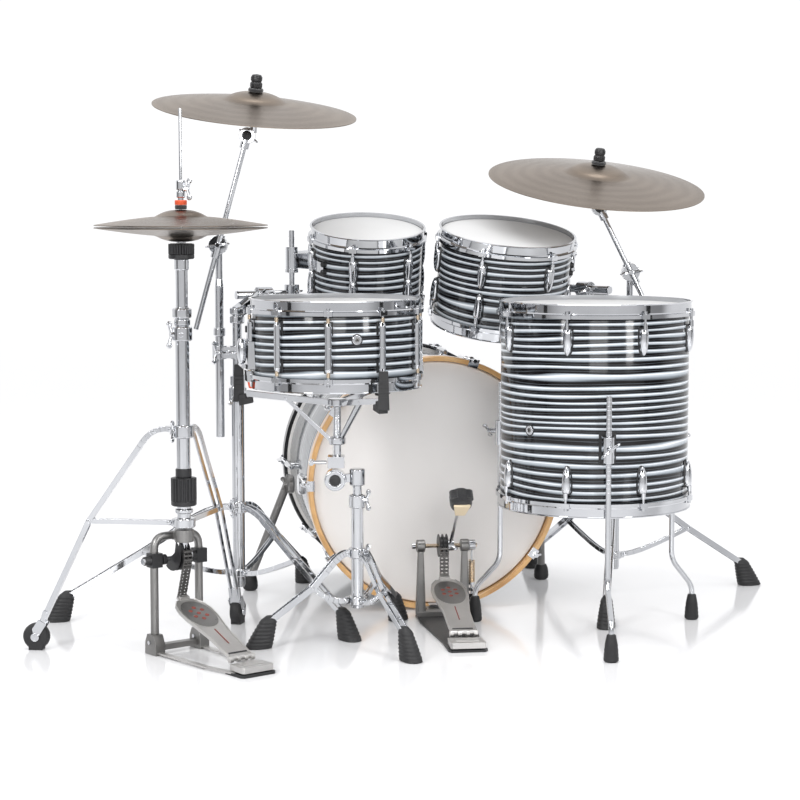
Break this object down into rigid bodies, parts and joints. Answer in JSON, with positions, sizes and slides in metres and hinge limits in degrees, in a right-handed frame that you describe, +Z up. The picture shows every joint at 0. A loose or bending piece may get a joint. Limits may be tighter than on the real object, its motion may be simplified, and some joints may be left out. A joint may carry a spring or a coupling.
{
  "type": "acoustic drum kit",
  "caption": "Acoustic drum kit with bass drum, snare, rack and floor toms, hi-hat, crash and ride cymbals, stands and pedals, all adjustable.",
  "frame": {"origin": "middle of the kit's footprint, on the floor", "axes": "+Z up, +Y from the drummer towards the audience, +X to the drummer's right"},
  "size_m": [1.7024, 1.2864, 1.2271],
  "materials": {
    "drum_wrap": "gloss black wrap with silvery blue-grey streaks round the shell",
    "hoop_wood": "clear-lacquered maple",
    "drum_head": "coated polyester film, matt off-white",
    "cymbal_bronze": "lathed bronze, satin with fine tonal grooves",
    "pewter_casting": "satin dark pewter metallic on castings",
    "chrome_hardware": "polished chrome plate",
    "rubber": "matt ribbed black rubber",
    "black_plastic": "moulded black nylon",
    "felt": "pressed wool felt",
    "brass_fittings": "plain brass on washers and swivel nuts",
    "red_detail": "orange-red plastic and cord"
  },
  "bodies": {
    "kit_base": {"bass_shell": "drum_wrap", "bass_batter_hoop": "hoop_wood", "bass_batter_head": "drum_head", "bass_front_hoop": "hoop_wood", "bass_pedal_frame": "pewter_casting", "floor_tom_shell": "drum_wrap", "floor_tom_top_hoop": "chrome_hardware", "floor_tom_top_head": "drum_head", "snare_stand_tube": "chrome_hardware", "snare_stand_leg_1": "chrome_hardware", "snare_stand_leg_2": "chrome_hardware", "snare_stand_leg_3": "chrome_hardware", "hihat_tube": "chrome_hardware", "hihat_leg_1": "chrome_hardware", "hihat_leg_2": "chrome_hardware", "hihat_pedal_frame": "pewter_casting", "left_stand_tube": "chrome_hardware", "left_stand_leg_1": "chrome_hardware", "left_stand_leg_2": "chrome_hardware", "left_stand_leg_3": "chrome_hardware", "right_stand_tube": "chrome_hardware", "right_stand_leg_1": "chrome_hardware", "right_stand_leg_2": "chrome_hardware", "right_stand_leg_3": "chrome_hardware"},
    "spur_left": {"bass_spur_left": "pewter_casting"},
    "spur_right": {"bass_spur_right": "pewter_casting"},
    "bass_footboard": {"bass_pedal_footboard": "pewter_casting"},
    "bass_beater": {"bass_pedal_beater": "chrome_hardware"},
    "floor_leg_1": {"floor_tom_leg_1": "chrome_hardware"},
    "floor_leg_2": {"floor_tom_leg_2": "chrome_hardware"},
    "floor_leg_3": {"floor_tom_leg_3": "chrome_hardware"},
    "snare_height": {"snare_stand_height_tube": "chrome_hardware"},
    "snare_drum": {"snare_stand_basket": "chrome_hardware", "snare_shell": "drum_wrap", "snare_top_hoop": "chrome_hardware", "snare_top_head": "drum_head"},
    "strainer_lever": {"snare_strainer_lever": "chrome_hardware"},
    "hihat_upper": {"hihat_upper_tube": "chrome_hardware", "hihat_bottom_cymbal": "cymbal_bronze"},
    "hihat_rod": {"hihat_pull_rod": "chrome_hardware"},
    "hihat_top": {"hihat_top_cymbal": "cymbal_bronze"},
    "hihat_footboard": {"hihat_footboard": "pewter_casting"},
    "left_upper": {"left_stand_upper_tube": "chrome_hardware"},
    "left_post": {"left_stand_side_post": "chrome_hardware"},
    "left_boom": {"left_stand_boom": "chrome_hardware"},
    "crash_tilter": {"crash_tilter": "chrome_hardware"},
    "crash": {"crash_cymbal": "cymbal_bronze"},
    "high_tom_arm": {"high_tom_arm": "chrome_hardware"},
    "high_tom": {"high_tom_shell": "drum_wrap", "high_tom_top_hoop": "chrome_hardware", "high_tom_top_head": "drum_head"},
    "right_upper": {"right_stand_upper_tube": "chrome_hardware"},
    "right_post": {"right_stand_side_post": "chrome_hardware"},
    "right_boom": {"right_stand_boom": "chrome_hardware"},
    "ride_tilter": {"ride_tilter": "chrome_hardware"},
    "ride": {"ride_cymbal": "cymbal_bronze"},
    "mid_tom_arm": {"mid_tom_arm": "chrome_hardware"},
    "mid_tom": {"mid_tom_shell": "drum_wrap", "mid_tom_top_hoop": "chrome_hardware", "mid_tom_top_head": "drum_head"}
  },
  "joints": [
    {"name": "bass_spur_left_fold", "type": "hinge", "parent": "kit_base", "child": "spur_left", "pos_m": [-0.29781, 0.24132, 0.266], "axis": [0.9848, 0.1736, 0], "range_deg": [0, 70]},
    {"name": "bass_spur_right_fold", "type": "hinge", "parent": "kit_base", "child": "spur_right", "pos_m": [0.28717, 0.34447, 0.266], "axis": [0.9848, 0.1736, 0], "range_deg": [0, 70]},
    {"name": "bass_pedal_press", "type": "hinge", "parent": "kit_base", "child": "bass_footboard", "pos_m": [0.0913, -0.33511, 0.028], "axis": [-0.9914, -0.1305, 0], "range_deg": [0, 14]},
    {"name": "bass_beater_swing", "type": "hinge", "parent": "kit_base", "child": "bass_beater", "pos_m": [0.05214, -0.03767, 0.165], "axis": [-0.9914, -0.1305, 0], "range_deg": [0, 75], "stiffness_Nm_per_rad": 1.2, "springref_deg": -34.38},
    {"name": "floor_tom_leg_1_slide", "type": "slide", "parent": "kit_base", "child": "floor_leg_1", "axis": [0, 0, 1], "range_m": [0, 0.08]},
    {"name": "floor_tom_leg_2_slide", "type": "slide", "parent": "kit_base", "child": "floor_leg_2", "axis": [0, 0, 1], "range_m": [0, 0.08]},
    {"name": "floor_tom_leg_3_slide", "type": "slide", "parent": "kit_base", "child": "floor_leg_3", "axis": [0, 0, 1], "range_m": [0, 0.08]},
    {"name": "snare_stand_height", "type": "slide", "parent": "kit_base", "child": "snare_height", "axis": [0, 0, 1], "range_m": [-0.015, 0.08]},
    {"name": "snare_basket_tilt", "type": "hinge", "parent": "snare_height", "child": "snare_drum", "pos_m": [-0.18195, -0.2884, 0.35], "axis": [0, 1, 0], "range_deg": [-8, 8]},
    {"name": "snare_throw_off", "type": "hinge", "parent": "snare_drum", "child": "strainer_lever", "pos_m": [-0.37777, -0.30584, 0.595], "axis": [0.225, -0.9744, 0], "range_deg": [0, 90]},
    {"name": "hihat_height", "type": "slide", "parent": "kit_base", "child": "hihat_upper", "axis": [0, 0, 1], "range_m": [-0.09, 0]},
    {"name": "hihat_rod_travel", "type": "slide", "parent": "kit_base", "child": "hihat_rod", "axis": [0, 0, 1], "range_m": [-0.0035, 0], "stiffness_N_per_m": 600, "springref_m": 0.02},
    {"name": "hihat_clutch_slide", "type": "slide", "parent": "hihat_rod", "child": "hihat_top", "axis": [0, 0, 1], "range_m": [0, 0.06]},
    {"name": "hihat_pedal_press", "type": "hinge", "parent": "kit_base", "child": "hihat_footboard", "pos_m": [-0.36347, -0.5704, 0.028], "axis": [-0.7815, -0.6239, 0], "range_deg": [0, 0.9]},
    {"name": "left_stand_height", "type": "slide", "parent": "kit_base", "child": "left_upper", "axis": [0, 0, 1], "range_m": [-0.04, 0.05]},
    {"name": "left_post_slide", "type": "slide", "parent": "left_upper", "child": "left_post", "axis": [0, 0, 1], "range_m": [-0.04, 0.04]},
    {"name": "left_boom_tilt", "type": "hinge", "parent": "left_post", "child": "left_boom", "pos_m": [-0.45195, -0.0049, 0.841], "axis": [0, 1, 0], "range_deg": [-6, 6]},
    {"name": "crash_tilter_tilt", "type": "hinge", "parent": "left_boom", "child": "crash_tilter", "pos_m": [-0.38495, 0.0126, 1.085], "axis": [0, 1, 0], "range_deg": [-8, 8]},
    {"name": "crash_swing", "type": "hinge", "parent": "crash_tilter", "child": "crash", "pos_m": [-0.36539, -0.00459, 1.18019], "axis": [1, 0, 0], "range_deg": [-5, 5]},
    {"name": "high_tom_tilt", "type": "hinge", "parent": "left_upper", "child": "high_tom_arm", "pos_m": [-0.29295, 0.1086, 0.726], "axis": [0.9086, 0.4177, 0], "range_deg": [-6, 6]},
    {"name": "high_tom_swivel", "type": "hinge", "parent": "high_tom_arm", "child": "high_tom", "pos_m": [-0.29295, 0.1086, 0.726], "axis": [0, 0, 1], "range_deg": [-4, 4]},
    {"name": "right_stand_height", "type": "slide", "parent": "kit_base", "child": "right_upper", "axis": [0, 0, 1], "range_m": [-0.01, 0.05]},
    {"name": "right_post_slide", "type": "slide", "parent": "right_upper", "child": "right_post", "axis": [0, 0, 1], "range_m": [-0.03, 0.04]},
    {"name": "right_boom_tilt", "type": "hinge", "parent": "right_post", "child": "right_boom", "pos_m": [0.49905, 0.2241, 0.771], "axis": [0, 1, 0], "range_deg": [-6, 6]},
    {"name": "ride_tilter_tilt", "type": "hinge", "parent": "right_boom", "child": "ride_tilter", "pos_m": [0.42405, 0.2416, 0.922], "axis": [0, 1, 0], "range_deg": [-8, 8]},
    {"name": "ride_swing", "type": "hinge", "parent": "ride_tilter", "child": "ride", "pos_m": [0.42038, 0.21744, 1.02214], "axis": [1, 0, 0], "range_deg": [-5, 5]},
    {"name": "mid_tom_tilt", "type": "hinge", "parent": "right_upper", "child": "mid_tom_arm", "pos_m": [0.34205, 0.2456, 0.733], "axis": [-0.7144, 0.6997, 0], "range_deg": [-6, 6]},
    {"name": "mid_tom_swivel", "type": "hinge", "parent": "mid_tom_arm", "child": "mid_tom", "pos_m": [0.34205, 0.2456, 0.733], "axis": [0, 0, 1], "range_deg": [-4, 4]}
  ],
  "couplings": [
    {"joint": "bass_beater_swing", "follows": "bass_pedal_press", "ratio": 5.1},
    {"joint": "hihat_rod_travel", "follows": "hihat_pedal_press", "m_per_rad": -0.216}
  ]
}
